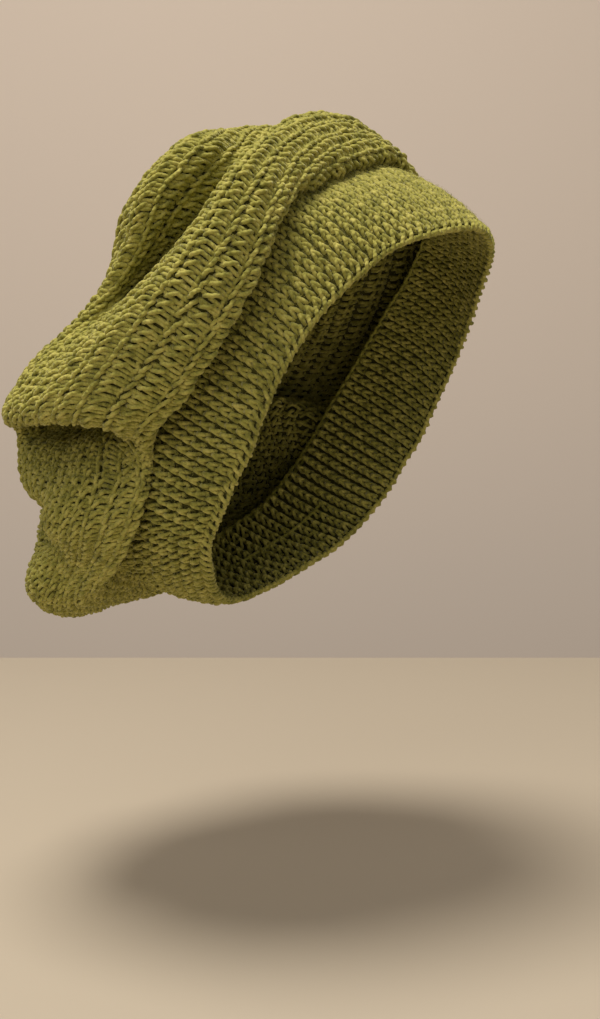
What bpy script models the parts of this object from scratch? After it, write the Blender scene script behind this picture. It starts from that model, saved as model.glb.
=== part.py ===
"""Slouchy crochet hat, in the shape it keeps on a head: a ribbed band and a gathered bag that hangs behind.

The origin is the centre of the head opening. +Z is up, the wearer looks along -Y, and the wearer's right is -X.
A closed run of the yarn around the hat is a ring. Each ring is a list of points from the middle of the
forehead, down the wearer's right side, to the middle of the nape. The left side mirrors it, with softer folds.
"""

import math

import bmesh
import bpy
import numpy as np
from mathutils import Matrix, Vector

MM = 0.001

# Driving dimensions, in millimetres.
BAND_WIDTH = 44.0
BAND_THICKNESS = 2.6
RIBS = 104
RIB_DEPTH = 0.8
BAND_BULGE = 3.5  # how far the head's roundness lifts the middle of the band
BODY_THICKNESS = 3.2
BODY_START = 3.6  # the body's first row, measured from the band's top
TURN_OUT = 5.0  # how far the body stands off the band before it folds over it
JOIN_DIAMETER = 2.2
YARN_DIAMETER = 2.0
GAP = 0.4  # between pieces that touch
LEFT_CALM = 0.45  # how far the left side's folds are flattened

# How far each of the body's rings lies from the band, along the fabric.
RING_DISTANCE = {
    "band_top": 0, "turn": 5, "lip": 17, "crest": 37, "groove": 69,
    "dome": 90, "hump": 115, "crown": 153, "closure": 182,
}

# Each ring, from forehead to nape: (out from the middle plane, back, up), in millimetres.
RINGS = {
    "rim": [(0, -52, 79), (23, -48, 76), (44, -39, 69), (57, -29, 57), (67, -20, 44), (73, -10, 27),
            (74, -1, 10), (73, 7, -7), (72, 13, -16), (71, 18, -25), (69, 23, -33), (65, 30, -43),
            (53, 37, -54), (39, 45, -62), (21, 53, -70), (0, 58, -74)],
    "band_top": [(0, -12, 104), (25, -9, 98), (46, -6, 90), (64, -1, 82), (71, 10, 66), (75, 24, 49),
                 (77, 36, 32), (76, 47, 15), (74, 53, 5), (72, 58, -5), (70, 63, -14), (65, 70, -26),
                 (56, 78, -39), (42, 88, -50), (22, 96, -58), (0, 100, -61)],
    "lip": [(0, -10, 113), (28, -8, 109), (54, -8, 98), (75, -9, 80), (86, -5, 57), (92, 6, 35),
            (92, 22, 15), (89, 36, 4), (84, 43, -6), (80, 46, -13), (79, 49, -22), (76, 57, -36),
            (68, 72, -52), (54, 92, -64), (28, 104, -70), (0, 108, -71)],
    "crest": [(0, 4, 123), (30, 5, 119), (59, 4, 108), (85, 2, 92), (99, 8, 70), (106, 22, 48),
              (106, 42, 27), (104, 61, 6), (72, 72, 8), (76, 70, -9), (83, 68, -22), (83, 75, -39),
              (67, 90, -54), (58, 105, -71), (29, 117, -79), (0, 122, -79)],
    "groove": [(0, 29, 121), (26, 24, 115), (39, 19, 102), (52, 30, 84), (61, 46, 65), (78, 63, 45),
               (94, 83, 23), (96, 98, 5), (60, 99, 8), (69, 95, -11), (79, 91, -23), (82, 92, -36),
               (67, 105, -50), (65, 116, -66), (34, 129, -76), (0, 135, -76)],
    "dome": [(0, 48, 121), (27, 46, 118), (61, 36, 109), (78, 43, 90), (79, 54, 67), (80, 71, 47),
             (86, 94, 24), (84, 110, 7), (56, 118, 5), (61, 115, -12), (68, 110, -23), (64, 104, -36),
             (58, 117, -51), (51, 127, -63), (26, 136, -66), (0, 140, -64)],
    "hump": [(0, 72, 112), (26, 70, 108), (47, 66, 97), (60, 71, 80), (60, 77, 60), (61, 84, 43),
             (68, 109, 22), (64, 127, 6), (50, 133, 0), (50, 131, -13), (53, 125, -24), (46, 118, -36),
             (45, 128, -50), (32, 136, -56), (14, 141, -53), (0, 143, -48)],
    "crown": [(0, 98, 74), (12, 96, 71), (22, 93, 64), (29, 92, 56), (34, 94, 48), (37, 102, 38),
              (38, 114, 26), (34, 126, 15), (29, 132, 8), (24, 134, 3), (20, 136, 0), (16, 139, -2),
              (12, 142, -3), (8, 144, -3), (4, 146, -3), (0, 147, -3)],
}
CLOSURE_CENTRE = (0, 114, 46)
CLOSURE_NORMAL = (0, 0.86, 0.51)
CLOSURE_RADIUS = 8.0

SAMPLES_ROUND = 208  # two for each rib
SAMPLES_BAND = 5
SAMPLES_BODY = 26
BODY_STRIDE = 2  # the body and the joining round take every second sample round the hat
GREEN = (0.30, 0.30, 0.09, 1)
DARK_GREEN = (0.20, 0.21, 0.06, 1)
YARN_ROUGHNESS = 0.9


def clear_scene():
    for obj in list(bpy.data.objects):
        bpy.data.objects.remove(obj)


def material(name, colour):
    made = bpy.data.materials.new(name)
    made.use_nodes = True
    shader = made.node_tree.nodes["Principled BSDF"]
    shader.inputs["Base Color"].default_value = colour
    shader.inputs["Roughness"].default_value = YARN_ROUGHNESS
    shader.inputs["Metallic"].default_value = 0.0
    return made


def hermite(points, knots, at):
    """A smooth curve through points at knots, read at the places in at. Points may be whole rings."""
    points, knots, at = np.asarray(points, float), np.asarray(knots, float), np.asarray(at, float)
    step = np.diff(knots)
    wide = (-1,) + (1,) * (points.ndim - 1)
    slope = np.diff(points, axis=0) / step.reshape(wide)
    before, after = step[:-1].reshape(wide), step[1:].reshape(wide)
    inner = (slope[:-1] * after + slope[1:] * before) / (before + after)
    tangent = np.concatenate([slope[:1], inner, slope[-1:]])
    i = np.clip(np.searchsorted(knots, at, side="right") - 1, 0, len(step) - 1)
    h, t = step[i].reshape(wide), ((at - knots[i]) / step[i]).reshape(wide)
    return (
        (2 * t**3 - 3 * t**2 + 1) * points[i]
        + (t**3 - 2 * t**2 + t) * h * tangent[i]
        + (3 * t**2 - 2 * t**3) * points[i + 1]
        + (t**3 - t**2) * h * tangent[i + 1]
    )


def closed_curve(points, count):
    """count samples of a smooth closed curve through points."""
    n, pad = len(points), 3
    padded = np.concatenate([points[-pad:], points, points[:pad]])
    return hermite(padded, np.arange(-pad, n + pad), np.arange(count) * n / count)


def closure_half():
    """The crown's closing ring, from its top to its bottom."""
    normal = np.array(CLOSURE_NORMAL) / np.linalg.norm(CLOSURE_NORMAL)
    side = np.array([1.0, 0, 0])
    up = np.cross(side, normal)
    up *= np.sign(up[2])
    turns = np.linspace(0, math.pi, len(RINGS["crown"]))
    return [
        np.array(CLOSURE_CENTRE) + CLOSURE_RADIUS * (math.cos(a) * up + math.sin(a) * side) for a in turns
    ]


def control_rings():
    """{ring: its closed run of control points}, the right side first."""
    names = list(RINGS) + ["closure"]
    right = np.array([*RINGS.values(), closure_half()], float)
    soft = right.copy()
    soft[2:-1] = (right[1:-2] + 2 * right[2:-1] + right[3:]) / 4
    soft[:, 1:-1] = (soft[:, :-2] + soft[:, 2:] + soft[:, 1:-1]) / 3
    left = right.copy()
    left[2:-1] = (1 - LEFT_CALM) * right[2:-1] + LEFT_CALM * soft[2:-1]
    left = left[:, -2:0:-1] * [1, 1, 1]
    right = right * [-1, 1, 1]
    return dict(zip(names, np.concatenate([right, left], axis=1), strict=True))


def rings_round(count):
    """{ring: count points round the hat}, with a ring where the body turns away from the band."""
    rings = {name: closed_curve(ring, count) for name, ring in control_rings().items()}
    rings["turn"] = rings["band_top"] + TURN_OUT * band_outward(rings)
    return rings


def band_outward(rings):
    """Directions away from the middle of the band."""
    middle = (rings["rim"] + rings["band_top"]) / 2
    out = middle - middle.mean(0)
    return out / np.linalg.norm(out, axis=1, keepdims=True)


def band_surface(rings, rows):
    """Rows of points from the rim to the band's top."""
    end = 1 - (JOIN_DIAMETER / 2 + GAP) / BAND_WIDTH
    share = np.linspace(0, end, rows)[:, None, None]
    straight = (1 - share) * rings["rim"] + share * rings["band_top"]
    return straight + 4 * share * (1 - share) * BAND_BULGE * band_outward(rings)


def body_surface(rings, rows):
    """Rows of points from just above the band to the crown's closing ring."""
    knots = list(RING_DISTANCE.values())
    at = np.linspace(BODY_START, knots[-1], rows)
    return hermite([rings[name] for name in RING_DISTANCE], knots, at)


def normals_of(rows):
    """Outward normals of a surface given as rows of points that close round the hat."""
    across = np.roll(rows, -1, axis=1) - np.roll(rows, 1, axis=1)
    along = np.gradient(rows, axis=0)
    normal = np.cross(along, across)
    return normal / np.maximum(np.linalg.norm(normal, axis=2, keepdims=True), 1e-9)


def sheet_object(name, rows, closed, thickness, finish):
    """A sheet through rows of points, thickened evenly to both sides."""
    mesh = bmesh.new()
    verts = [[mesh.verts.new(Vector(p) * MM) for p in row] for row in rows]
    count = len(rows[0])
    for low, high in zip(verts[:-1], verts[1:]):
        for i in range(count if closed else count - 1):
            j = (i + 1) % count
            mesh.faces.new((low[i], low[j], high[j], high[i]))
    bmesh.ops.recalc_face_normals(mesh, faces=mesh.faces)
    data = bpy.data.meshes.new(name)
    mesh.to_mesh(data)
    mesh.free()
    data.shade_smooth()
    obj = bpy.data.objects.new(name, data)
    obj.data.materials.append(finish)
    shell = obj.modifiers.new("thickness", "SOLIDIFY")
    shell.thickness = thickness * MM
    shell.offset = 0
    shell.use_even_offset = False
    return obj


def yarn_object(name, points, diameter, finish, closed=False):
    """A round yarn along points."""
    curve = bpy.data.curves.new(name, "CURVE")
    curve.dimensions = "3D"
    curve.bevel_depth = diameter / 2 * MM
    curve.bevel_resolution = 2
    curve.use_fill_caps = not closed
    line = curve.splines.new("POLY")
    line.points.add(len(points) - 1)
    for spot, p in zip(line.points, points, strict=True):
        spot.co = (*(Vector(p) * MM), 1)
    line.use_cyclic_u = closed
    obj = bpy.data.objects.new(name, curve)
    curve.materials.append(finish)
    return obj


def ribbed_band(rings, finish):
    """The strip, worked sideways: its ribs run from rim to top, and its ends meet at the nape."""
    rows = band_surface(rings, SAMPLES_BAND)
    ribs = RIB_DEPTH * np.where(np.arange(SAMPLES_ROUND) % 2, -1, 1)[None, :, None]
    rows = rows + ribs * normals_of(rows)
    nape = SAMPLES_ROUND // 2
    strip = np.concatenate([rows[:, nape + 1 :], rows[:, :nape]], axis=1)
    return sheet_object("ribbed_band", strip, False, BAND_THICKNESS, finish)


def band_seam(rings, finish):
    """Slip stitches that join the strip's two ends at the nape."""
    rows = band_surface(rings, 15)[:-1]
    nape = SAMPLES_ROUND // 2
    sway = np.where(np.arange(len(rows)) % 2, 0.5, -0.5)[:, None]
    points = rows[:, nape] + sway * normals_of(rows)[:, nape]
    return yarn_object("band_seam", points, YARN_DIAMETER, finish)


def joining_round(rings, finish):
    """The round of stitches picked up along the band's top, which the body grows from."""
    points = rings["band_top"][::BODY_STRIDE]
    return yarn_object("joining_round", points, JOIN_DIAMETER, finish, closed=True)


def slouch_body(rings, finish):
    """The bag, worked in rounds from the band to the crown."""
    rows = body_surface(rings, SAMPLES_BODY)[:, ::BODY_STRIDE]
    return sheet_object("slouch_body", rows, True, BODY_THICKNESS, finish)


def crown_closure(finish):
    """The knot of the last stitches, drawn together in the middle of the crown."""
    mesh = bmesh.new()
    bmesh.ops.create_uvsphere(mesh, u_segments=24, v_segments=10, radius=1)
    radius = CLOSURE_RADIUS - BODY_THICKNESS / 2 - GAP
    bmesh.ops.scale(mesh, verts=mesh.verts, vec=Vector((radius, radius, BODY_THICKNESS / 2)) * MM)
    data = bpy.data.meshes.new("crown_closure")
    mesh.to_mesh(data)
    mesh.free()
    data.shade_smooth()
    data.materials.append(finish)
    obj = bpy.data.objects.new("crown_closure", data)
    turn = Vector(CLOSURE_NORMAL).to_track_quat("Z", "Y").to_matrix().to_4x4()
    obj.matrix_world = Matrix.Translation(Vector(CLOSURE_CENTRE) * MM) @ turn
    return obj


def woven_end(name, rows, row, first, last, thickness, finish):
    """A yarn end darned along the inside, between two places round the hat."""
    inside = thickness / 2 + YARN_DIAMETER / 2 + GAP
    points = rows[row, first:last] - inside * normals_of(rows)[row, first:last]
    return yarn_object(name, points, YARN_DIAMETER * 0.8, finish)


def main():
    clear_scene()
    collection = bpy.data.collections.new("Slouchy crochet hat")
    bpy.context.scene.collection.children.link(collection)
    green = material("green_yarn", GREEN)
    dark = material("dark_green_yarn", DARK_GREEN)
    rings = rings_round(SAMPLES_ROUND)
    band = band_surface(rings, SAMPLES_BAND)
    body = body_surface(rings, SAMPLES_BODY)
    parts = [
        ribbed_band(rings, green),
        band_seam(rings, dark),
        joining_round(rings, dark),
        slouch_body(rings, green),
        crown_closure(dark),
        woven_end("band_yarn_end", band, 2, 112, 132, BAND_THICKNESS + 2 * RIB_DEPTH, dark),
        woven_end("body_yarn_end", body, 4, 84, 98, BODY_THICKNESS, dark),
        woven_end("crown_yarn_end", body, SAMPLES_BODY - 4, 10, 30, BODY_THICKNESS, dark),
    ]
    for obj in parts:
        collection.objects.link(obj)


main()
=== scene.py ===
"""Looks for the slouchy crochet hat: every stitch is laid as yarn over the band's and the body's surfaces.

Lengths are in millimetres until a mesh is made. The hat's shape is the same set of rings as the solid part:
each ring runs from the middle of the forehead, down the wearer's right side, to the middle of the nape.
"""

import math

import bpy
import numpy as np
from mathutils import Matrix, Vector


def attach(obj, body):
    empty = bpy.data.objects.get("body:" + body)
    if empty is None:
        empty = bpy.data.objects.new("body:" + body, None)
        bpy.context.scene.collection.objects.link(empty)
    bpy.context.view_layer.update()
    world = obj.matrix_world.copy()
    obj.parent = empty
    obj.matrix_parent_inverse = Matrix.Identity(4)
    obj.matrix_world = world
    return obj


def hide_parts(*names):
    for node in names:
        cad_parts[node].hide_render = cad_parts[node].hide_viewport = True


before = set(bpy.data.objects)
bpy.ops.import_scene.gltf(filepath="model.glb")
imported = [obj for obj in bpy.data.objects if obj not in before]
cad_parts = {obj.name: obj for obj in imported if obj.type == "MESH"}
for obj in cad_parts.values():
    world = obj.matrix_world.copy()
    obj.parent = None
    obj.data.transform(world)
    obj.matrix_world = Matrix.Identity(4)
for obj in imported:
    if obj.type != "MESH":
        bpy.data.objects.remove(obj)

MM = 0.001
SEED = 11
TINY = 1e-9

# The hat's shape. A ring's distance is how far it lies from the band along the body's cloth.
BAND_WIDTH = 44.0
BAND_LENGTH = 520.0
BAND_BULGE = 3.5
TURN_OUT = 5.0
LEFT_CALM = 0.45
BODY_START = 1.6
SAMPLES_ROUND = 416
BODY_ROWS = 320
BAND_ROWS = 40
RING_DISTANCE = {
    "band_top": 0, "turn": 5, "lip": 17, "crest": 37, "groove": 69,
    "dome": 90, "hump": 115, "crown": 153, "closure": 182,
}
RINGS = {
    "rim": [(0, -52, 79), (23, -48, 76), (44, -39, 69), (57, -29, 57), (67, -20, 44), (73, -10, 27),
            (74, -1, 10), (73, 7, -7), (72, 13, -16), (71, 18, -25), (69, 23, -33), (65, 30, -43),
            (53, 37, -54), (39, 45, -62), (21, 53, -70), (0, 58, -74)],
    "band_top": [(0, -12, 104), (25, -9, 98), (46, -6, 90), (64, -1, 82), (71, 10, 66), (75, 24, 49),
                 (77, 36, 32), (76, 47, 15), (74, 53, 5), (72, 58, -5), (70, 63, -14), (65, 70, -26),
                 (56, 78, -39), (42, 88, -50), (22, 96, -58), (0, 100, -61)],
    "lip": [(0, -10, 113), (28, -8, 109), (54, -8, 98), (75, -9, 80), (86, -5, 57), (92, 6, 35),
            (92, 22, 15), (89, 36, 4), (84, 43, -6), (80, 46, -13), (79, 49, -22), (76, 57, -36),
            (68, 72, -52), (54, 92, -64), (28, 104, -70), (0, 108, -71)],
    "crest": [(0, 4, 123), (30, 5, 119), (59, 4, 108), (85, 2, 92), (99, 8, 70), (106, 22, 48),
              (106, 42, 27), (104, 61, 6), (72, 72, 8), (76, 70, -9), (83, 68, -22), (83, 75, -39),
              (67, 90, -54), (58, 105, -71), (29, 117, -79), (0, 122, -79)],
    "groove": [(0, 29, 121), (26, 24, 115), (39, 19, 102), (52, 30, 84), (61, 46, 65), (78, 63, 45),
               (94, 83, 23), (96, 98, 5), (60, 99, 8), (69, 95, -11), (79, 91, -23), (82, 92, -36),
               (67, 105, -50), (65, 116, -66), (34, 129, -76), (0, 135, -76)],
    "dome": [(0, 48, 121), (27, 46, 118), (61, 36, 109), (78, 43, 90), (79, 54, 67), (80, 71, 47),
             (86, 94, 24), (84, 110, 7), (56, 118, 5), (61, 115, -12), (68, 110, -23), (64, 104, -36),
             (58, 117, -51), (51, 127, -63), (26, 136, -66), (0, 140, -64)],
    "hump": [(0, 72, 112), (26, 70, 108), (47, 66, 97), (60, 71, 80), (60, 77, 60), (61, 84, 43),
             (68, 109, 22), (64, 127, 6), (50, 133, 0), (50, 131, -13), (53, 125, -24), (46, 118, -36),
             (45, 128, -50), (32, 136, -56), (14, 141, -53), (0, 143, -48)],
    "crown": [(0, 98, 74), (12, 96, 71), (22, 93, 64), (29, 92, 56), (34, 94, 48), (37, 102, 38),
              (38, 114, 26), (34, 126, 15), (29, 132, 8), (24, 134, 3), (20, 136, 0), (16, 139, -2),
              (12, 142, -3), (8, 144, -3), (4, 146, -3), (0, 147, -3)],
}
CLOSURE_CENTRE = np.array([0, 114, 46.0])
CLOSURE_NORMAL = np.array([0, 0.86, 0.51])
CLOSURE_RADIUS = 8.0
NAPE = 0.5  # turns round the hat from the forehead

# The yarn and its stitches.
YARN_RADIUS = 0.84
THIN_YARN_RADIUS = 0.85 * YARN_RADIUS
SIDES = 6
ROUNDS = 25
ROUNDS_TOGETHER = 2
STITCH_WIDTH = 4.1
FEWEST_STITCHES = 8
RIBS = 124
RIB_STITCHES = 10
BAND_PIECES = 4
RIBS_LOW = 0.02  # shares of the band's width between which the ribs run
RIBS_HIGH = 0.99
SEAM_STITCHES = 12
SEAM_LOW = 0.02
SEAM_HIGH = 0.92

# How uneven each kind of stitch is, in the order and the units of its knots.
TALL_JITTER = np.array([0.06, 0.035, 0.2])
RIB_JITTER = np.array([0.04, 0.05, 0.14])
ROUND_JITTER = np.array([0.05, 0.12, 0.1])
SEAM_JITTER = np.array([0.05, 0.15, 0.1])
STRAND_JITTER = 0.35  # the share of it that changes along a strand

# The folds pressed into the body's cloth.
PLEATS = 46
PLEAT_DEPTH = 1.3
PLEAT_FADE = 16.0
PLEAT_SHIFTS = 7
PLEAT_SHIFT = 1.5
DENTS = 60
DENT_DEPTH = 0.9
DENT_SIZE = 16.0
DENT_START = 9.0
DENT_EASE = 30.0
# Deep creases: (turn round the hat, from and to in millimetres from the band, width in turns, depth).
TUCKS = [
    (0.275, 26, 114, 0.012, 12.0),
    (0.390, 44, 120, 0.011, 5.0),
    (0.738, 35, 115, 0.016, 3.5),
    (0.630, 50, 120, 0.014, 2.5),
]
TUCK_EASE = 14.0
# Furrows that run round the body: (millimetres from the band, from and to in turns, width, depth).
FURROWS = [
    (76, 0.02, 0.17, 9.0, 4.5),
    (74, 0.84, 0.95, 10.0, 2.5),
]
FURROW_EASE = 0.03

# The ribs, which stand deepest and widest apart at the nape, where the band is loose.
RIB_DEPTH_FRONT = 0.25
RIB_DEPTH_NAPE_RIM = 1.8
RIB_DEPTH_NAPE_JOIN = 4.0
LOOSE_REACH = 0.34  # turns from the nape to where the ribs are stretched flat
LOOSE_EASE = 0.16
NAPE_SPREAD = 0.55
NAPE_EASE = 0.12

# The coil at the crown, and the yarn ends darned in: (from and to in turns, share along the surface, lift).
COIL_POINTS = 90
COIL_TURNS = 3.25
COIL_OUTER = 6.6
COIL_INNER = 0.9
COIL_WAVE = 0.7
COIL_WAVES = 2.7
COIL_RISE = 1.2
DARN_POINTS = 60
DARN_WAVES = 4.5
DARN_SWAY = 0.004
DARN_DEPTH = 0.35
BAND_END = (0.54, 0.63, 0.5, -2.6)
BODY_END = (0.40, 0.47, 0.19, -2.8)
CROWN_END = (0.05, 0.14, 0.86, -2.8)

# Loose fibres, and the thin dark sheet behind the stitches, whose colour is painted shade for the gaps
# between them.
FUZZ_BODY = 19500
FUZZ_BODY_SPAN = (0.03, 0.99)  # shares along the surface
FUZZ_BAND = 12000
FUZZ_BAND_SPAN = (0.0, 0.95)
FUZZ_LENGTH = 2.6
FUZZ_WIDTH = 0.075
FUZZ_LIFT = 1.2
FUZZ_BEND = 0.4
SHADE_SHEET_THICKNESS = 0.8
SHADE_SHEET_ACROSS = 208
BODY_SHADE_SHEET = (0.0, 1.0, 110)  # from and to as shares along the surface, rows
BAND_SHADE_SHEET = (0.0, 0.96, 14)

# A stitch of the body: (share of its width, share of its height, lift in millimetres) along each strand.
TALL_STITCH = {
    "front_leg": [
        (-0.42, 0.84, 0.3), (-0.15, 0.90, 1.5), (0.20, 0.95, 1.9), (0.52, 0.98, 1.4), (0.75, 1.00, 0.2),
    ],
    "back_leg": [(-0.40, 1.02, -0.5), (-0.05, 1.10, 0.3), (0.35, 1.12, 0.4), (0.75, 1.04, -0.4)],
    "left_post": [
        (0.34, 0.00, -0.4), (0.24, 0.16, 0.9), (0.25, 0.42, 1.2), (0.32, 0.68, 1.0), (0.42, 0.88, 0.2),
    ],
    "right_post": [
        (0.66, 0.00, -0.4), (0.74, 0.16, 0.8), (0.72, 0.42, 1.1), (0.66, 0.68, 1.0), (0.58, 0.88, 0.2),
    ],
    "wrap": [(-0.02, 0.30, 0.0), (0.20, 0.42, 1.8), (0.50, 0.54, 2.2), (0.80, 0.66, 1.7), (1.02, 0.76, 0.0)],
    "inner_post": [(0.50, 0.00, -0.3), (0.42, 0.30, -1.3), (0.55, 0.60, -1.4), (0.50, 0.92, -0.5)],
    "inner_wrap": [(0.05, 0.75, -0.2), (0.35, 0.60, -1.7), (0.70, 0.45, -1.7), (0.98, 0.35, -0.2)],
}
# A stitch of the band: (share of the rib's width from its middle, share of the stitch along the rib, lift).
RIB_STITCH = {
    "left_leg": [(-0.31, -0.05, -0.1), (-0.26, 0.25, 0.5), (-0.14, 0.65, 0.8), (0.00, 1.05, 0.2)],
    "right_leg": [(0.31, -0.05, -0.1), (0.26, 0.25, 0.5), (0.14, 0.65, 0.8), (0.00, 1.05, 0.2)],
    "inner_left": [(0.19, -0.05, 0.1), (0.24, 0.25, -0.5), (0.36, 0.65, -0.8), (0.50, 1.05, -0.2)],
    "inner_right": [(0.81, -0.05, 0.1), (0.76, 0.25, -0.5), (0.64, 0.65, -0.8), (0.50, 1.05, -0.2)],
}
# A chain stitch, for the join and the seam: (share of its length, across in millimetres, lift).
CHAIN_STITCH = {
    "front_leg": [
        (-0.35, -0.2, 0.0), (0.00, -0.9, 1.0), (0.45, -1.0, 1.2), (0.85, -0.4, 0.5), (1.05, 0.2, -0.1),
    ],
    "back_leg": [
        (-0.35, 0.2, 0.0), (0.00, 1.0, -0.4), (0.45, 1.1, -0.5), (0.85, 0.5, -0.2), (1.05, -0.1, 0.1),
    ],
}
# A loop of the rim, which wraps the edge of the band on a slant, in the chain stitch's units.
EDGE_STITCH = {
    "loop": [
        (-0.20, 2.4, 0.2), (0.05, 1.0, 1.3), (0.32, -0.6, 1.5),
        (0.55, -1.7, 0.3), (0.62, -1.2, -0.9), (0.70, 0.6, -1.2),
    ],
    "under": [(-0.30, -0.9, 0.4), (0.20, -1.2, -0.4), (0.70, -0.9, 0.4)],
}
# How many points smooth a strand of each.
TALL_POINTS = 8
RIB_POINTS = 6
CHAIN_POINTS = 7

# Materials.
GREEN = (0.350, 0.328, 0.068)
PALE_GREEN = (0.515, 0.465, 0.125)
DEEP_GREEN = (0.165, 0.163, 0.028)
# Painted shade: the near-black of the sheet behind the stitches stands in for the shade seen through the gaps
# between the loops.
PAINTED_SHADE_GREEN = (0.06, 0.058, 0.012)
JOIN_GREEN = (0.30, 0.29, 0.05)
SHEEN_TINT = (0.9, 0.88, 0.55)
WALL = (0.69, 0.60, 0.52)
TABLE = (0.52, 0.455, 0.36)

# The view, the room and its lights, in metres, watts and degrees.
VIEW_AZIMUTH = -60.0
VIEW_ELEVATION = 5.0
VIEW_DISTANCE = 0.60
VIEW_TARGET = Vector((0, 0.026, -0.034))
LENS = 50.52
TABLE_TOP = -0.205
TABLE_DEPTH = 0.56
TABLE_NEAR = 1.5
TABLE_HALF_WIDTH = 2.0
WALL_DISTANCE = 1.1
WALL_HALF_WIDTH = 3.0
WALL_FOOT = -1.2
WALL_TOP = 2.2
UP = Vector((0, 0, 1))
# (name, place towards the camera, to the right and up, size, power, colour)
LIGHTS = [
    ("ceiling", (0.25, -0.28, 1.40), 0.6, 22, (1.0, 0.93, 0.84)),
    ("room", (1.6, -0.5, 1.0), 1.6, 9, (1.0, 0.95, 0.90)),
]
WORLD_COLOUR = (1.0, 0.93, 0.84)
WORLD_STRENGTH = 0.27


def hermite(points, knots, at):
    """A smooth curve through points at knots, read at the places in at. Points may be whole rings."""
    points, knots, at = np.asarray(points, float), np.asarray(knots, float), np.asarray(at, float)
    step = np.diff(knots)
    wide = (-1,) + (1,) * (points.ndim - 1)
    slope = np.diff(points, axis=0) / step.reshape(wide)
    before, after = step[:-1].reshape(wide), step[1:].reshape(wide)
    inner = (slope[:-1] * after + slope[1:] * before) / (before + after)
    tangent = np.concatenate([slope[:1], inner, slope[-1:]])
    i = np.clip(np.searchsorted(knots, at, side="right") - 1, 0, len(step) - 1)
    h, t = step[i].reshape(wide), ((at - knots[i]) / step[i]).reshape(wide)
    return (
        (2 * t**3 - 3 * t**2 + 1) * points[i]
        + (t**3 - 2 * t**2 + t) * h * tangent[i]
        + (3 * t**2 - 2 * t**3) * points[i + 1]
        + (t**3 - t**2) * h * tangent[i + 1]
    )


def closed_curve(points, count):
    """count samples of a smooth closed curve through points."""
    n, pad = len(points), 3
    padded = np.concatenate([points[-pad:], points, points[:pad]])
    return hermite(padded, np.arange(-pad, n + pad), np.arange(count) * n / count)


def closure_axes():
    """The closing circle's directions: (to its side, up, outward)."""
    normal = CLOSURE_NORMAL / np.linalg.norm(CLOSURE_NORMAL)
    side = np.array([1.0, 0, 0])
    return side, np.cross(side, normal), normal


def closure_half():
    """The crown's closing ring, from its top to its bottom."""
    side, up, _ = closure_axes()
    turns = np.linspace(0, math.pi, len(RINGS["crown"]))
    return [CLOSURE_CENTRE + CLOSURE_RADIUS * (math.cos(a) * up + math.sin(a) * side) for a in turns]


def hat_rings(count):
    """{ring: count points round the hat}. The left side mirrors the right, with softer folds."""
    right = np.array([*RINGS.values(), closure_half()], float)
    soft = right.copy()
    soft[2:-1] = (right[1:-2] + 2 * right[2:-1] + right[3:]) / 4
    soft[:, 1:-1] = (soft[:, :-2] + soft[:, 2:] + soft[:, 1:-1]) / 3
    left = right.copy()
    left[2:-1] = (1 - LEFT_CALM) * right[2:-1] + LEFT_CALM * soft[2:-1]
    whole = np.concatenate([right * [-1, 1, 1], left[:, -2:0:-1]], axis=1)
    rings = {name: closed_curve(ring, count) for name, ring in zip([*RINGS, "closure"], whole, strict=True)}
    rings["turn"] = rings["band_top"] + TURN_OUT * band_outward(rings)
    return rings


def band_outward(rings):
    """Directions away from the middle of the band."""
    middle = (rings["rim"] + rings["band_top"]) / 2
    out = middle - middle.mean(0)
    return out / np.linalg.norm(out, axis=1, keepdims=True)


def grid_normals(rows):
    """Outward normals of a grid whose rows close round the hat."""
    across = np.roll(rows, -1, axis=1) - np.roll(rows, 1, axis=1)
    along = np.gradient(rows, axis=0)
    normal = np.cross(along, across)
    return normal / np.maximum(np.linalg.norm(normal, axis=2, keepdims=True), TINY)


class Surface:
    """A grid of points that close round the hat, read between its samples."""

    def __init__(self, rows):
        self.rows = rows
        self.normals = grid_normals(rows)

    def at(self, turn, along, lift):
        """Points at these turns round the hat and shares along it, lifted off the surface, with normals."""
        high, wide = self.rows.shape[:2]
        x, y = (turn % 1) * wide, along * (high - 1)
        i, j = np.floor(x).astype(int) % wide, np.clip(np.floor(y).astype(int), 0, high - 2)
        f, g = (x - np.floor(x))[..., None], (y - j)[..., None]
        k = (i + 1) % wide

        def read(grid):
            below = (1 - f) * grid[j, i] + f * grid[j, k]
            above = (1 - f) * grid[j + 1, i] + f * grid[j + 1, k]
            return (1 - g) * below + g * above

        normal = read(self.normals)
        normal /= np.linalg.norm(normal, axis=-1, keepdims=True)
        return read(self.rows) + lift[..., None] * normal, normal

    def ruler(self, along):
        """Round the hat at this height: (the turns, the share of the way walked at each, the length)."""
        turns = np.linspace(0, 1, SAMPLES_ROUND + 1)
        points, _ = self.at(turns, np.full_like(turns, along), np.zeros_like(turns))
        steps = np.linalg.norm(np.diff(points, axis=0), axis=1)
        walked = np.concatenate([[0], np.cumsum(steps)])
        return turns, walked / walked[-1], walked[-1]


def dents(rows, rng):
    """Small uneven rises and hollows, as soft fabric has."""
    relief = np.zeros(rows.shape[:2])
    centres = rows.reshape(-1, 3)[rng.integers(0, rows.shape[0] * rows.shape[1], DENTS)]
    for centre, height in zip(centres, rng.normal(0, DENT_DEPTH, DENTS), strict=True):
        away = ((rows - centre) ** 2).sum(2)
        relief += height * np.exp(-2 * away / DENT_SIZE**2)
    return relief


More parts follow.
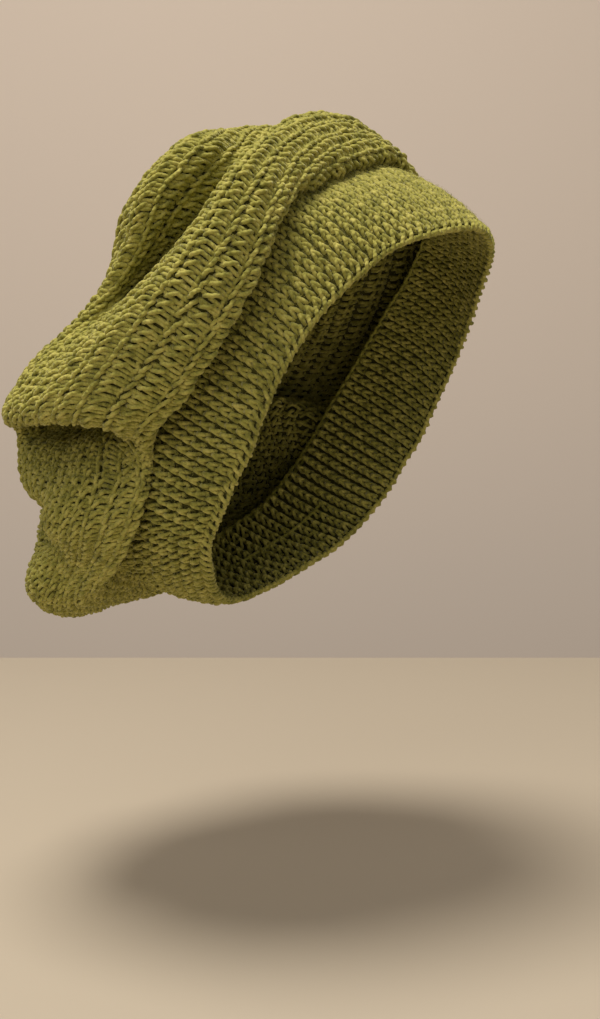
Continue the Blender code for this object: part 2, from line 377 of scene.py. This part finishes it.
def creases(turns, at):
    """How far the body's tucks and furrows lie below it."""
    relief = np.zeros((len(at), len(turns)))
    for turn, low, high, width, depth in TUCKS:
        run = np.clip((at - low) / TUCK_EASE, 0, 1) * np.clip((high - at) / TUCK_EASE, 0, 1)
        relief -= depth * run[:, None] * np.exp(-(((turns - turn) / width) ** 2))
    for middle, low, high, width, depth in FURROWS:
        run = np.clip((turns - low) / FURROW_EASE, 0, 1) * np.clip((high - turns) / FURROW_EASE, 0, 1)
        relief -= depth * np.exp(-(((at - middle) / width) ** 2))[:, None] * run
    return relief


def body_surface(rings, rng):
    """The bag, with the small pleats where the join gathers it."""
    knots = list(RING_DISTANCE.values())
    at = np.linspace(BODY_START, knots[-1], BODY_ROWS)
    rows = hermite([rings[name] for name in RING_DISTANCE], knots, at)
    turns = np.arange(SAMPLES_ROUND) / SAMPLES_ROUND
    shift = PLEAT_SHIFT * np.sin(2 * math.pi * PLEAT_SHIFTS * turns)
    pleats = PLEAT_DEPTH * np.sin(2 * math.pi * PLEATS * turns + shift)
    relief = np.exp(-at / PLEAT_FADE)[:, None] * pleats + creases(turns, at)
    relief += dents(rows, rng) * np.clip((at - DENT_START) / DENT_EASE, 0, 1)[:, None]
    return Surface(rows + relief[..., None] * grid_normals(rows))


def band_surface(rings):
    """The band, bowed out by the roundness of a head."""
    share = np.linspace(0, 1, BAND_ROWS)[:, None, None]
    straight = (1 - share) * rings["rim"] + share * rings["band_top"]
    return Surface(straight + 4 * share * (1 - share) * BAND_BULGE * band_outward(rings))


def strand_points(knots, count):
    """A strand's knots, (..., number of knots, 3), smoothed to count points."""
    first = np.moveaxis(knots, -2, 0)
    places = np.linspace(0, len(first) - 1, count)
    return np.moveaxis(hermite(first, np.arange(len(first)), places), 0, -2)


def tube_directions(points, normals):
    """Directions from each point of a strand to the corners round it: (count, length, SIDES, 3)."""
    tangent = np.gradient(points, axis=1)
    tangent /= np.linalg.norm(tangent, axis=2, keepdims=True)
    side = np.cross(tangent, normals)
    side /= np.maximum(np.linalg.norm(side, axis=2, keepdims=True), TINY)
    up = np.cross(side, tangent)
    angle = np.arange(SIDES) * 2 * math.pi / SIDES
    return np.cos(angle)[:, None] * side[:, :, None] + np.sin(angle)[:, None] * up[:, :, None]


def tube_marks(points):
    """The marks of each quad round a strand, as mesh_object takes them."""
    steps = np.linalg.norm(np.diff(points, axis=1, prepend=points[:, :1]), axis=2)
    walked = np.cumsum(steps, axis=1)
    shape = (len(points), points.shape[1] - 1, SIDES)
    low = np.broadcast_to(walked[:, :-1, None], shape)
    high = np.broadcast_to(walked[:, 1:, None], shape)
    left = np.broadcast_to(np.arange(SIDES) / SIDES, shape)
    right = left + 1 / SIDES
    return np.stack([low, left, low, right, high, right, high, left], axis=-1).reshape(-1, 4, 2)


def tube_mesh(name, strands, radius, finish):
    """One mesh of round yarns. Each strand is (points, normals), both (count, length, 3)."""
    verts, quads, caps, marks = [], [], [], []
    start = 0
    for points, normals in strands:
        index = start + np.arange(points[..., 0].size * SIDES).reshape(*points.shape[:2], SIDES)
        after = np.roll(index, -1, axis=2)
        sides = np.stack([index[:, :-1], after[:, :-1], after[:, 1:], index[:, 1:]], axis=-1)
        verts.append((points[:, :, None] + radius * tube_directions(points, normals)).reshape(-1, 3))
        quads.append(sides.reshape(-1, 4))
        caps.append(np.concatenate([index[:, 0, ::-1], index[:, -1]]))
        marks.append(tube_marks(points))
        start += index.size
    verts, quads, caps, marks = (np.concatenate(rows) for rows in (verts, quads, caps, marks))
    return mesh_object(name, verts, quads, caps, marks, finish)


def mesh_object(name, verts, quads, caps, marks, finish):
    """A mesh of quads and end caps. marks holds the distance along the yarn and the turn of each corner."""
    data = bpy.data.meshes.new(name)
    data.vertices.add(len(verts))
    data.vertices.foreach_set("co", (verts * MM).astype(np.float32).ravel())
    corners = np.concatenate([quads.ravel(), caps.ravel()])
    data.loops.add(len(corners))
    data.loops.foreach_set("vertex_index", corners.astype(np.int32))
    sizes = np.concatenate([np.full(len(quads), 4), np.full(len(caps), caps.shape[1] if len(caps) else 0)])
    starts = np.concatenate([[0], np.cumsum(sizes)[:-1]])
    data.polygons.add(len(sizes))
    data.polygons.foreach_set("loop_start", starts.astype(np.int32))
    data.polygons.foreach_set("use_smooth", np.ones(len(sizes), bool))
    data.update(calc_edges=True)
    layer = data.uv_layers.new(name="yarn")
    flat = np.zeros((len(corners), 2), np.float32)
    flat[: quads.size] = marks.reshape(-1, 2)
    layer.data.foreach_set("uv", flat.ravel())
    data.validate()
    obj = bpy.data.objects.new(name, data)
    data.materials.append(finish)
    bpy.context.scene.collection.objects.link(obj)
    return obj


def lay_strands(surface, stitch, places, count, jitter, points, rng):
    """The strands of one stitch, repeated count times. places turns their knots into turn, share and lift."""
    turn_of, along_of, lift_of = places
    laid = []
    for knots in stitch.values():
        path = strand_points(np.array(knots, float)[None], points)
        place = path + rng.normal(0, 1, (count, 1, 3)) * jitter
        place = place + rng.normal(0, STRAND_JITTER, (count, points, 3)) * jitter
        laid.append(surface.at(turn_of(place), along_of(place), lift_of(place)))
    return laid


def plain_lift(place):
    """A knot's own lift, on a surface without ribs."""
    return place[..., 2]


def body_round(surface, number, rng):
    """The strands of one round of tall stitches. Rounds meet top to bottom."""
    low, high = number / ROUNDS, (number + 1) / ROUNDS
    turns, share, length = surface.ruler((low + high) / 2)
    count = max(FEWEST_STITCHES, round(length / STITCH_WIDTH))
    first = np.arange(count)[:, None]
    shift = rng.uniform(0, 1)

    def turn_of(place):
        return np.interp(((first + place[..., 0] + shift) / count) % 1, share, turns)

    def along_of(place):
        return low + (high - low) * place[..., 1]

    places = (turn_of, along_of, plain_lift)
    return lay_strands(surface, TALL_STITCH, places, count, TALL_JITTER, TALL_POINTS, rng)


def body_rounds(surface, first, finish, rng):
    """A few neighbouring rounds as one piece."""
    numbers = range(first, min(first + ROUNDS_TOGETHER, ROUNDS))
    strands = [strand for number in numbers for strand in body_round(surface, number, rng)]
    return tube_mesh(f"body_rounds_{first + 1:02d}", strands, YARN_RADIUS, finish)


def rib_depth(turn, along):
    """Half the height of the ribs, which the head stretches flat everywhere but at the nape."""
    loose = np.clip((LOOSE_REACH - np.abs((turn % 1) - NAPE)) / LOOSE_EASE, 0, 1)
    at_nape = RIB_DEPTH_NAPE_RIM + (RIB_DEPTH_NAPE_JOIN - RIB_DEPTH_NAPE_RIM) * along
    return RIB_DEPTH_FRONT + (at_nape - RIB_DEPTH_FRONT) * loose


def rib_place(number):
    """How far round from the nape a rib lies. The ribs stand wider apart near the nape."""
    share = (number / RIBS + 0.5) % 1 - 0.5
    spread = share + NAPE_EASE * NAPE_SPREAD * np.tanh(share / NAPE_EASE)
    return 0.5 * spread / (0.5 + NAPE_EASE * NAPE_SPREAD)


def band_rows(surface, first_rib, last_rib, name, finish, rng):
    """Some of the band's ribs, each a run of stitches from the rim to the top."""
    turns, share, _ = surface.ruler(0.5)
    ribs = np.repeat(np.arange(first_rib, last_rib), RIB_STITCHES)[:, None]
    steps = np.tile(np.arange(RIB_STITCHES), last_rib - first_rib)[:, None]

    def turn_of(place):
        return np.interp((rib_place(ribs + 0.5 + place[..., 0]) + NAPE) % 1, share, turns)

    def along_of(place):
        return RIBS_LOW + (RIBS_HIGH - RIBS_LOW) * (steps + place[..., 1]) / RIB_STITCHES

    def lift_of(place):
        depth = rib_depth(turn_of(place), along_of(place))
        return place[..., 2] + depth * np.cos(2 * math.pi * place[..., 0])

    places = (turn_of, along_of, lift_of)
    strands = lay_strands(surface, RIB_STITCH, places, len(ribs), RIB_JITTER, RIB_POINTS, rng)
    return tube_mesh(name, strands, YARN_RADIUS, finish)


def stitch_round(surface, stitch, height, count, name, finish, rng):
    """A line of stitches that closes round the hat, at this height of the band."""
    turns, share, _ = surface.ruler(height)
    first = np.arange(count)[:, None]

    def turn_of(place):
        return np.interp(((first + place[..., 0]) / count) % 1, share, turns)

    def along_of(place):
        return height + place[..., 1] / BAND_WIDTH

    places = (turn_of, along_of, plain_lift)
    strands = lay_strands(surface, stitch, places, count, ROUND_JITTER, CHAIN_POINTS, rng)
    return tube_mesh(name, strands, YARN_RADIUS, finish)


def seam_chain(surface, finish, rng):
    """Slip stitches up the nape, between the ends of the strip."""
    first = np.arange(SEAM_STITCHES)[:, None]

    def turn_of(place):
        return NAPE + place[..., 1] / BAND_LENGTH

    def along_of(place):
        return SEAM_LOW + (SEAM_HIGH - SEAM_LOW) * (first + place[..., 0]) / SEAM_STITCHES

    places = (turn_of, along_of, plain_lift)
    strands = lay_strands(surface, CHAIN_STITCH, places, SEAM_STITCHES, SEAM_JITTER, CHAIN_POINTS, rng)
    return tube_mesh("seam_stitches", strands, THIN_YARN_RADIUS, finish)


def crown_knot(finish):
    """The last round drawn together: a coil of yarn that rises a little towards its middle."""
    side, up, normal = closure_axes()
    angle = np.linspace(0, 2 * math.pi * COIL_TURNS, COIL_POINTS)
    radius = np.linspace(COIL_OUTER, COIL_INNER, COIL_POINTS)
    lift = COIL_WAVE * np.cos(COIL_WAVES * angle) + COIL_RISE * (1 - radius / COIL_OUTER)
    points = CLOSURE_CENTRE + radius[:, None] * (np.cos(angle)[:, None] * side + np.sin(angle)[:, None] * up)
    points = points + lift[:, None] * normal
    coil = (points[None], np.broadcast_to(normal, (1, COIL_POINTS, 3)))
    return tube_mesh("crown_knot", [coil], YARN_RADIUS, finish)


def darned_end(surface, name, place, finish):
    """A yarn end woven along the inside of the surface."""
    first, last, along, lift = place
    turn = np.linspace(first, last, DARN_POINTS)
    sway = np.sin(np.linspace(0, 2 * math.pi * DARN_WAVES, DARN_POINTS))
    points, normals = surface.at(turn, along + DARN_SWAY * sway, lift + DARN_DEPTH * sway)
    return tube_mesh(name, [(points[None], normals[None])], THIN_YARN_RADIUS, finish)


def lay_painted_shade(surface, name, span, finish):
    """A thin sheet that the stitches stand on, which closes the gaps between their loops. Its near-black
    colour is painted shade, for the hat's dark inside seen through the gaps.
    """
    low, high, rows = span
    turns = np.arange(SHADE_SHEET_ACROSS) / SHADE_SHEET_ACROSS
    shares = np.linspace(low, high, rows)
    turn, share = np.meshgrid(turns, shares)
    half = SHADE_SHEET_THICKNESS / 2
    outer, _ = surface.at(turn, share, np.full_like(turn, half))
    inner, _ = surface.at(turn, share, np.full_like(turn, -half))
    verts = np.concatenate([outer, inner[::-1]]).reshape(-1, 3)
    index = np.arange(len(verts)).reshape(2 * rows, SHADE_SHEET_ACROSS)
    above = np.roll(index, -1, axis=0)
    corners = [index, above, np.roll(above, -1, axis=1), np.roll(index, -1, axis=1)]
    quads = np.stack(corners, axis=-1).reshape(-1, 4)
    no_caps = np.zeros((0, SIDES), int)
    return mesh_object(name, verts, quads, no_caps, np.zeros((len(quads), 4, 2)), finish)


def new_material(name, colour, roughness, sheen):
    """A matte material, with its nodes, its links and its shader."""
    made = bpy.data.materials.new(name)
    made.use_nodes = True
    shader = made.node_tree.nodes["Principled BSDF"]
    shader.inputs["Base Color"].default_value = (*colour, 1)
    shader.inputs["Roughness"].default_value = roughness
    shader.inputs["Sheen Weight"].default_value = sheen
    shader.inputs["Sheen Roughness"].default_value = 0.45
    shader.inputs["Sheen Tint"].default_value = (*SHEEN_TINT, 1)
    shader.inputs["Specular IOR Level"].default_value = 0.2
    return made, made.node_tree.nodes, made.node_tree.links, shader


def yarn_material(name, middle, pale, deep):
    """Soft yarn with uneven dye, and a twist that catches the light."""
    made, nodes, links, shader = new_material(name, middle, 0.92, 0.35)
    place = nodes.new("ShaderNodeTexCoord")
    dye = nodes.new("ShaderNodeTexNoise")
    dye.inputs["Scale"].default_value = 260.0
    dye.inputs["Detail"].default_value = 3.0
    links.new(place.outputs["Object"], dye.inputs["Vector"])
    ramp = nodes.new("ShaderNodeValToRGB")
    ramp.color_ramp.elements[0].position = 0.28
    ramp.color_ramp.elements[0].color = (*deep, 1)
    ramp.color_ramp.elements[1].position = 0.74
    ramp.color_ramp.elements[1].color = (*pale, 1)
    centre = ramp.color_ramp.elements.new(0.5)
    centre.color = (*middle, 1)
    links.new(dye.outputs["Fac"], ramp.inputs["Fac"])
    links.new(ramp.outputs["Color"], shader.inputs["Base Color"])
    uv = nodes.new("ShaderNodeUVMap")
    uv.uv_map = "yarn"
    stretch = nodes.new("ShaderNodeMapping")
    stretch.inputs["Scale"].default_value = (0.55, 1.0, 1.0)
    links.new(uv.outputs["UV"], stretch.inputs["Vector"])
    twist = nodes.new("ShaderNodeTexWave")
    twist.bands_direction = "DIAGONAL"
    twist.inputs["Scale"].default_value = 0.636
    twist.inputs["Distortion"].default_value = 1.2
    links.new(stretch.outputs["Vector"], twist.inputs["Vector"])
    bump = nodes.new("ShaderNodeBump")
    bump.inputs["Strength"].default_value = 0.55
    bump.inputs["Distance"].default_value = 0.0005
    links.new(twist.outputs["Fac"], bump.inputs["Height"])
    links.new(bump.outputs["Normal"], shader.inputs["Normal"])
    return made


def fuzz(surface, name, count, span, finish, rng):
    """Loose fibre ends that stand up from the yarn, each a narrow bent ribbon."""
    turn, along = rng.uniform(0, 1, count), rng.uniform(*span, count)
    root, normal = surface.at(turn, along, np.full(count, FUZZ_LIFT))
    lean = rng.normal(0, 1, (count, 3))
    lean -= (lean * normal).sum(1, keepdims=True) * normal
    lean /= np.linalg.norm(lean, axis=1, keepdims=True)
    bend = np.cross(normal, lean) * rng.normal(0, FUZZ_BEND, (count, 1))
    reach = FUZZ_LENGTH * rng.uniform(0.5, 1.2, (count, 1))
    middle = root + reach * (0.35 * normal + 0.40 * lean)
    tip = root + reach * (0.50 * normal + 0.80 * lean + bend)
    width = FUZZ_WIDTH / 2 * np.cross(lean, normal)
    rise = FUZZ_WIDTH / 2 * normal
    corners = [root - width, root + width, root + rise, middle - width, middle + width, middle + rise, tip]
    verts = np.stack(corners, axis=1).reshape(-1, 3)
    base = len(corners) * np.arange(count)[:, None]
    sides = np.concatenate([base + [0, 1, 4, 3], base + [1, 2, 5, 4], base + [2, 0, 3, 5]])
    ends = np.concatenate([base + [3, 4, 6], base + [4, 5, 6], base + [5, 3, 6], base + [0, 2, 1]])
    return mesh_object(name, verts, sides, ends, np.zeros((len(sides), 4, 2)), finish)


def wear(piece, node):
    """Puts a piece on the hat's one body, in place of a node of the solid part."""
    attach(piece, "root")
    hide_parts(node)
    return piece


def build_body(body, green, under, rng):
    """The body's rounds and the sheet of painted shade behind them: (rounds, sheet)."""
    rounds = [
        wear(body_rounds(body, first, green, rng), "slouch_body")
        for first in range(0, ROUNDS, ROUNDS_TOGETHER)
    ]
    shade_sheet = lay_painted_shade(body, "body_painted_shade", BODY_SHADE_SHEET, under)
    return rounds, wear(shade_sheet, "slouch_body")


def build_band(band, green, under, rng):
    """The band's ribs, the sheet of painted shade behind them and the rim: (ribs, sheet, rim)."""
    share = RIBS // BAND_PIECES
    ribs = []
    for number in range(BAND_PIECES):
        first = number * share
        rows = band_rows(band, first, first + share, f"band_ribs_{number + 1}", green, rng)
        ribs.append(wear(rows, "ribbed_band"))
    shade_sheet = wear(lay_painted_shade(band, "band_painted_shade", BAND_SHADE_SHEET, under), "ribbed_band")
    rim = stitch_round(band, EDGE_STITCH, 0.0, RIBS, "rim_edging", green, rng)
    return ribs, shade_sheet, wear(rim, "ribbed_band")


def build_joins(body, band, join, rng):
    """The picked-up round, the seam, the crown's coil and the darned ends."""
    picked = stitch_round(band, CHAIN_STITCH, 1.0, RIBS, "picked_up_round", join, rng)
    wear(picked, "joining_round")
    wear(seam_chain(band, join, rng), "band_seam")
    wear(crown_knot(join), "crown_closure")
    ends = {
        "band_yarn_end": (band, BAND_END),
        "body_yarn_end": (body, BODY_END),
        "crown_yarn_end": (body, CROWN_END),
    }
    for node, (surface, place) in ends.items():
        wear(darned_end(surface, f"{node}_darned", place, join), node)


def build_hat(rng):
    """Every piece of the hat."""
    green = yarn_material("green_yarn", GREEN, PALE_GREEN, DEEP_GREEN)
    join = yarn_material("joining_yarn", JOIN_GREEN, GREEN, DEEP_GREEN)
    # The sheet behind the stitches is coloured near black: painted shade in the gaps between the loops.
    under, *_ = new_material("painted_shade_between_stitches", PAINTED_SHADE_GREEN, 1.0, 0.1)
    rings = hat_rings(SAMPLES_ROUND)
    body, band = body_surface(rings, rng), band_surface(rings)
    # Both sheets behind the stitches, of the body and of the band, are painted shade.
    rounds, shade_sheet = build_body(body, green, under, rng)
    ribs, strip, edge = build_band(band, green, under, rng)
    build_joins(body, band, join, rng)
    wear(fuzz(body, "body_fuzz", FUZZ_BODY, FUZZ_BODY_SPAN, green, rng), "slouch_body")
    wear(fuzz(band, "band_fuzz", FUZZ_BAND, FUZZ_BAND_SPAN, green, rng), "ribbed_band")


def plane(name, low, high, across, finish):
    """A flat sheet between the edges whose middles are low and high."""
    corners = [low - across, low + across, high + across, high - across]
    data = bpy.data.meshes.new(name)
    data.from_pydata(corners, [], [(0, 1, 2, 3)])
    data.materials.append(finish)
    obj = bpy.data.objects.new(name, data)
    bpy.context.scene.collection.objects.link(obj)
    return obj


def view_directions():
    """(towards the camera, to the right as it sees it), both level."""
    turn = math.radians(VIEW_AZIMUTH)
    return Vector((math.sin(turn), -math.cos(turn), 0)), Vector((math.cos(turn), math.sin(turn), 0))


def build_room():
    """A table under the hat and a wall behind it."""
    back, right = view_directions()
    wall, *_ = new_material("wall_paint", WALL, 0.9, 0.0)
    top, *_ = new_material("table_top", TABLE, 0.6, 0.0)
    centre = Vector((VIEW_TARGET.x, VIEW_TARGET.y, 0))
    middle = centre + UP * TABLE_TOP
    near, far = middle + back * TABLE_NEAR, middle - back * TABLE_DEPTH
    foot = centre - back * WALL_DISTANCE
    table = plane("table", near, far, right * TABLE_HALF_WIDTH, top)
    backdrop = plane("backdrop", foot + UP * WALL_FOOT, foot + UP * WALL_TOP, right * WALL_HALF_WIDTH, wall)


def area_light(name, place, size, watts, colour):
    data = bpy.data.lights.new(name, "AREA")
    data.shape = "DISK"
    data.size = size
    data.energy = watts
    data.color = colour
    obj = bpy.data.objects.new(name, data)
    obj.location = place
    obj.rotation_euler = (place - VIEW_TARGET).to_track_quat("Z", "Y").to_euler()
    bpy.context.scene.collection.objects.link(obj)


def build_lights():
    back, right = view_directions()
    for name, (near, aside, high), size, watts, colour in LIGHTS:
        area_light(name, back * near + right * aside + UP * high, size, watts, colour)
    world = bpy.data.worlds.new("room_light")
    world.use_nodes = True
    background = world.node_tree.nodes["Background"]
    background.inputs["Color"].default_value = (*WORLD_COLOUR, 1)
    background.inputs["Strength"].default_value = WORLD_STRENGTH
    bpy.context.scene.world = world
    bpy.context.scene.view_settings.view_transform = "Standard"


def build_camera():
    lift = math.radians(VIEW_ELEVATION)
    back, _ = view_directions()
    towards = back * math.cos(lift) + UP * math.sin(lift)
    data = bpy.data.cameras.new("camera")
    data.lens = LENS
    data.sensor_fit = "VERTICAL"
    data.sensor_height = 36.0
    camera = bpy.data.objects.new("camera", data)
    camera.location = VIEW_TARGET + towards * VIEW_DISTANCE
    camera.rotation_euler = towards.to_track_quat("Z", "Y").to_euler()
    bpy.context.scene.collection.objects.link(camera)
    bpy.context.scene.camera = camera


def main():
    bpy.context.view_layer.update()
    build_hat(np.random.default_rng(SEED))
    build_room()
    build_lights()
    build_camera()


main()
